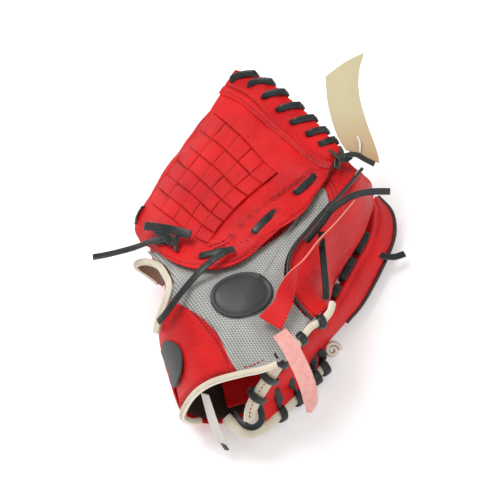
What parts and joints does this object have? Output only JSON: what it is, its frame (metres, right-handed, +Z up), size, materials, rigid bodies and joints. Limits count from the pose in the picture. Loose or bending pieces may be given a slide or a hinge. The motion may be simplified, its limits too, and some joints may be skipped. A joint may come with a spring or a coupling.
{
  "type": "baseball glove",
  "caption": "Youth baseball glove in red leather with a woven basket web, grey mesh thumb back, rawhide lacing and a hook-and-loop wrist strap.",
  "frame": {"origin": "on the table under the middle of the glove's box, free lace ends left out", "axes": "+X towards the open mouth of the pocket, +Y from the wrist to the top of the web, +Z up through the thumb side"},
  "size_m": [0.2415, 0.2996, 0.1204],
  "materials": {
    "red_leather": "pebbled, satin",
    "rawhide_lace": "smooth, semi-gloss",
    "air_mesh": "knitted air mesh",
    "cream_leather": "smooth, soft sheen",
    "black_welting": "smooth",
    "black_patch": "moulded, satin",
    "lining": "soft, matt",
    "felt": "felt",
    "loop_webbing": "woven",
    "hook_loop": "woven loop, red edge",
    "tag_card": "card",
    "clear_plastic": "clear nylon",
    "label_cloth": "woven label"
  },
  "bodies": {
    "finger_side": {"index_stall": "red_leather", "middle_stall": "red_leather", "ring_stall": "red_leather", "pinky_stall": "red_leather", "finger_lace": "rawhide_lace", "pinky_loop": "loop_webbing", "back_of_hand": "red_leather", "wrist_strap_lower": "red_leather", "palm_lining": "lining", "palm_pad": "felt", "pocket_leather": "red_leather", "pinky_palm": "red_leather", "pinky_welting": "black_welting", "heel_binding": "cream_leather", "heel_roll": "cream_leather", "heel_lace_pinky": "rawhide_lace", "palm_lace": "rawhide_lace", "lace_end_pinky": "rawhide_lace"},
    "thumb_side": {"web_back_panel": "red_leather", "web_front_panel": "red_leather", "web_weave_long": "red_leather", "web_weave_cross": "red_leather", "web_top_band": "red_leather", "web_top_lace": "rawhide_lace", "web_thumb_lace": "rawhide_lace", "web_index_lace": "rawhide_lace", "web_knot": "rawhide_lace", "thumb_mesh": "air_mesh", "thumb_tip_back": "red_leather", "thumb_palm": "red_leather", "thumb_lining": "lining", "thumb_pad": "felt", "thumb_loop": "loop_webbing", "thumb_welting": "black_welting", "thumb_knot": "rawhide_lace", "thumb_underside": "red_leather", "wrist_strap": "red_leather", "strap_label": "black_patch", "wrist_binding": "cream_leather", "back_opening_binding": "cream_leather", "oval_patch": "black_patch", "thumb_heel_binding": "cream_leather", "heel_arm_binding": "cream_leather", "heel_lace_thumb": "rawhide_lace", "closure_strap": "red_leather", "care_label": "label_cloth", "lace_end_index": "rawhide_lace", "lace_end_mesh": "rawhide_lace", "lace_end_thumb": "rawhide_lace", "lace_end_strap": "rawhide_lace", "lace_end_hanging": "rawhide_lace"},
    "strap_tail": {"closure_tail": "hook_loop"},
    "tag": {"hang_tag": "tag_card", "tag_fastener": "clear_plastic"}
  },
  "joints": [
    {"name": "pocket_hinge", "type": "hinge", "parent": "finger_side", "child": "thumb_side", "pos_m": [-0.108, 0.026, 0.0499], "axis": [0, -1, 0], "range_deg": [0, 25]},
    {"name": "tail_hinge", "type": "hinge", "parent": "thumb_side", "child": "strap_tail", "pos_m": [0.009, -0.096, 0.1159], "axis": [-0.8051, -0.5931, 0], "range_deg": [0, 75]},
    {"name": "tag_hinge", "type": "hinge", "parent": "thumb_side", "child": "tag", "pos_m": [0.071, 0.066, 0.0909], "axis": [1, 0, 0], "range_deg": [0, 40]}
  ]
}
